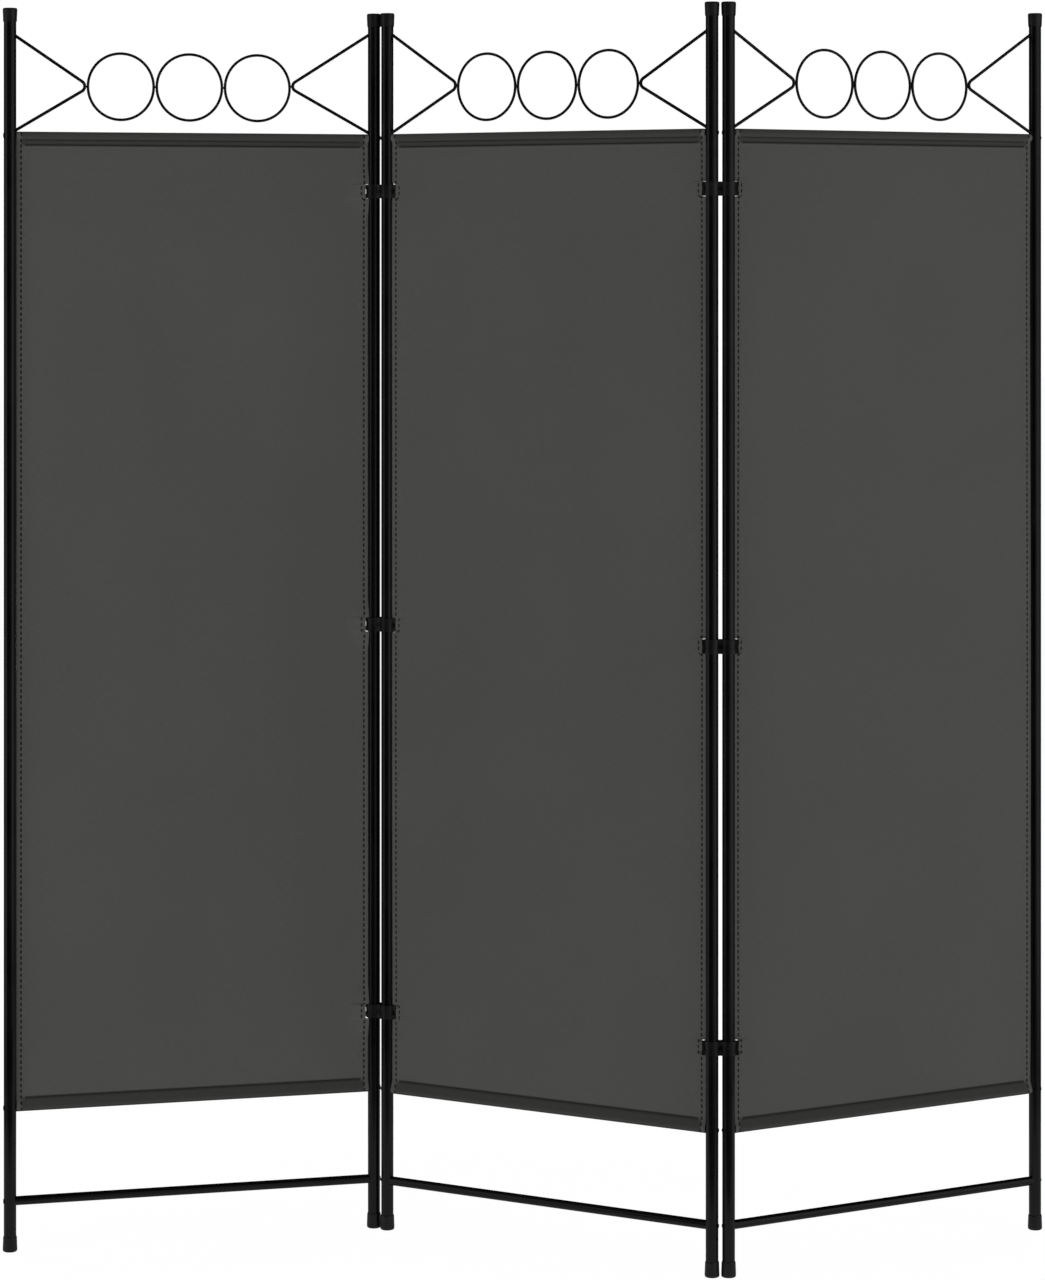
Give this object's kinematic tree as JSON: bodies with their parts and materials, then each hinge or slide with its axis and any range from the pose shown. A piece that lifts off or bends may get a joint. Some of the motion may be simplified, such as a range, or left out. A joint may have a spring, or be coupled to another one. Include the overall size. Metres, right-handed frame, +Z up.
{
  "type": "folding room divider screen",
  "caption": "Folding room divider screen of black steel tube and dark grey cloth panels, with wire rings and V braces at the top and double clips as hinges.",
  "frame": {"origin": "on the floor, under the middle of the bounding box of the half-folded screen at rest", "axes": "+Z up along the posts, +X along the screen from its left panel to its right panel, +Y towards its far side"},
  "size_m": [1.5216, 0.3044, 1.8],
  "materials": {
    "tube_paint": "gloss",
    "wire_paint": "gloss",
    "cap_plastic": "satin",
    "clip_plastic": "satin",
    "bolt_black": "satin",
    "bare_steel": "satin",
    "cloth": "matt"
  },
  "bodies": {
    "middle_panel": {"middle_bar_plugs": "bare_steel", "middle_bottom_rod": "tube_paint", "middle_brace_left": "wire_paint", "middle_brace_right": "wire_paint", "middle_caps": "cap_plastic", "middle_cloth": "cloth", "middle_crossbar": "tube_paint", "middle_feet": "cap_plastic", "middle_head_post_left": "tube_paint", "middle_head_post_right": "tube_paint", "middle_main_post_left": "tube_paint", "middle_main_post_right": "tube_paint", "middle_post_bolts": "bolt_black", "middle_post_spigots": "bare_steel", "middle_ring_row": "wire_paint", "middle_top_rod": "tube_paint", "middle_weld_beads": "wire_paint"},
    "left_clips": {"left_clip_inner_halves": "clip_plastic", "left_clip_nuts": "bolt_black", "left_clip_outer_halves": "clip_plastic", "left_clip_screws": "bolt_black"},
    "left_panel": {"left_bar_plugs": "bare_steel", "left_bottom_rod": "tube_paint", "left_brace_left": "wire_paint", "left_brace_right": "wire_paint", "left_caps": "cap_plastic", "left_cloth": "cloth", "left_crossbar": "tube_paint", "left_feet": "cap_plastic", "left_head_post_left": "tube_paint", "left_head_post_right": "tube_paint", "left_main_post_left": "tube_paint", "left_main_post_right": "tube_paint", "left_post_bolts": "bolt_black", "left_post_spigots": "bare_steel", "left_ring_row": "wire_paint", "left_top_rod": "tube_paint", "left_weld_beads": "wire_paint"},
    "right_clips": {"right_clip_inner_halves": "clip_plastic", "right_clip_nuts": "bolt_black", "right_clip_outer_halves": "clip_plastic", "right_clip_screws": "bolt_black"},
    "right_panel": {"right_bar_plugs": "bare_steel", "right_bottom_rod": "tube_paint", "right_brace_left": "wire_paint", "right_brace_right": "wire_paint", "right_caps": "cap_plastic", "right_cloth": "cloth", "right_crossbar": "tube_paint", "right_feet": "cap_plastic", "right_head_post_left": "tube_paint", "right_head_post_right": "tube_paint", "right_main_post_left": "tube_paint", "right_main_post_right": "tube_paint", "right_post_bolts": "bolt_black", "right_post_spigots": "bare_steel", "right_ring_row": "wire_paint", "right_top_rod": "tube_paint", "right_weld_beads": "wire_paint"}
  },
  "joints": [
    {"name": "left_clip_turn", "type": "hinge", "parent": "middle_panel", "child": "left_clips", "pos_m": [-0.20842, 0.12915, 0], "axis": [0, 0, 1], "range_deg": [-30, 90]},
    {"name": "left_panel_turn", "type": "hinge", "parent": "left_clips", "child": "left_panel", "pos_m": [-0.22869, 0.14085, 0], "axis": [0, 0, 1], "range_deg": [-75, 45]},
    {"name": "right_clip_turn", "type": "hinge", "parent": "middle_panel", "child": "right_clips", "pos_m": [0.25923, -0.14085, 0], "axis": [0, 0, 1], "range_deg": [-60, 60]},
    {"name": "right_panel_turn", "type": "hinge", "parent": "right_clips", "child": "right_panel", "pos_m": [0.28263, -0.14085, 0], "axis": [0, 0, 1], "range_deg": [-60, 60]}
  ]
}
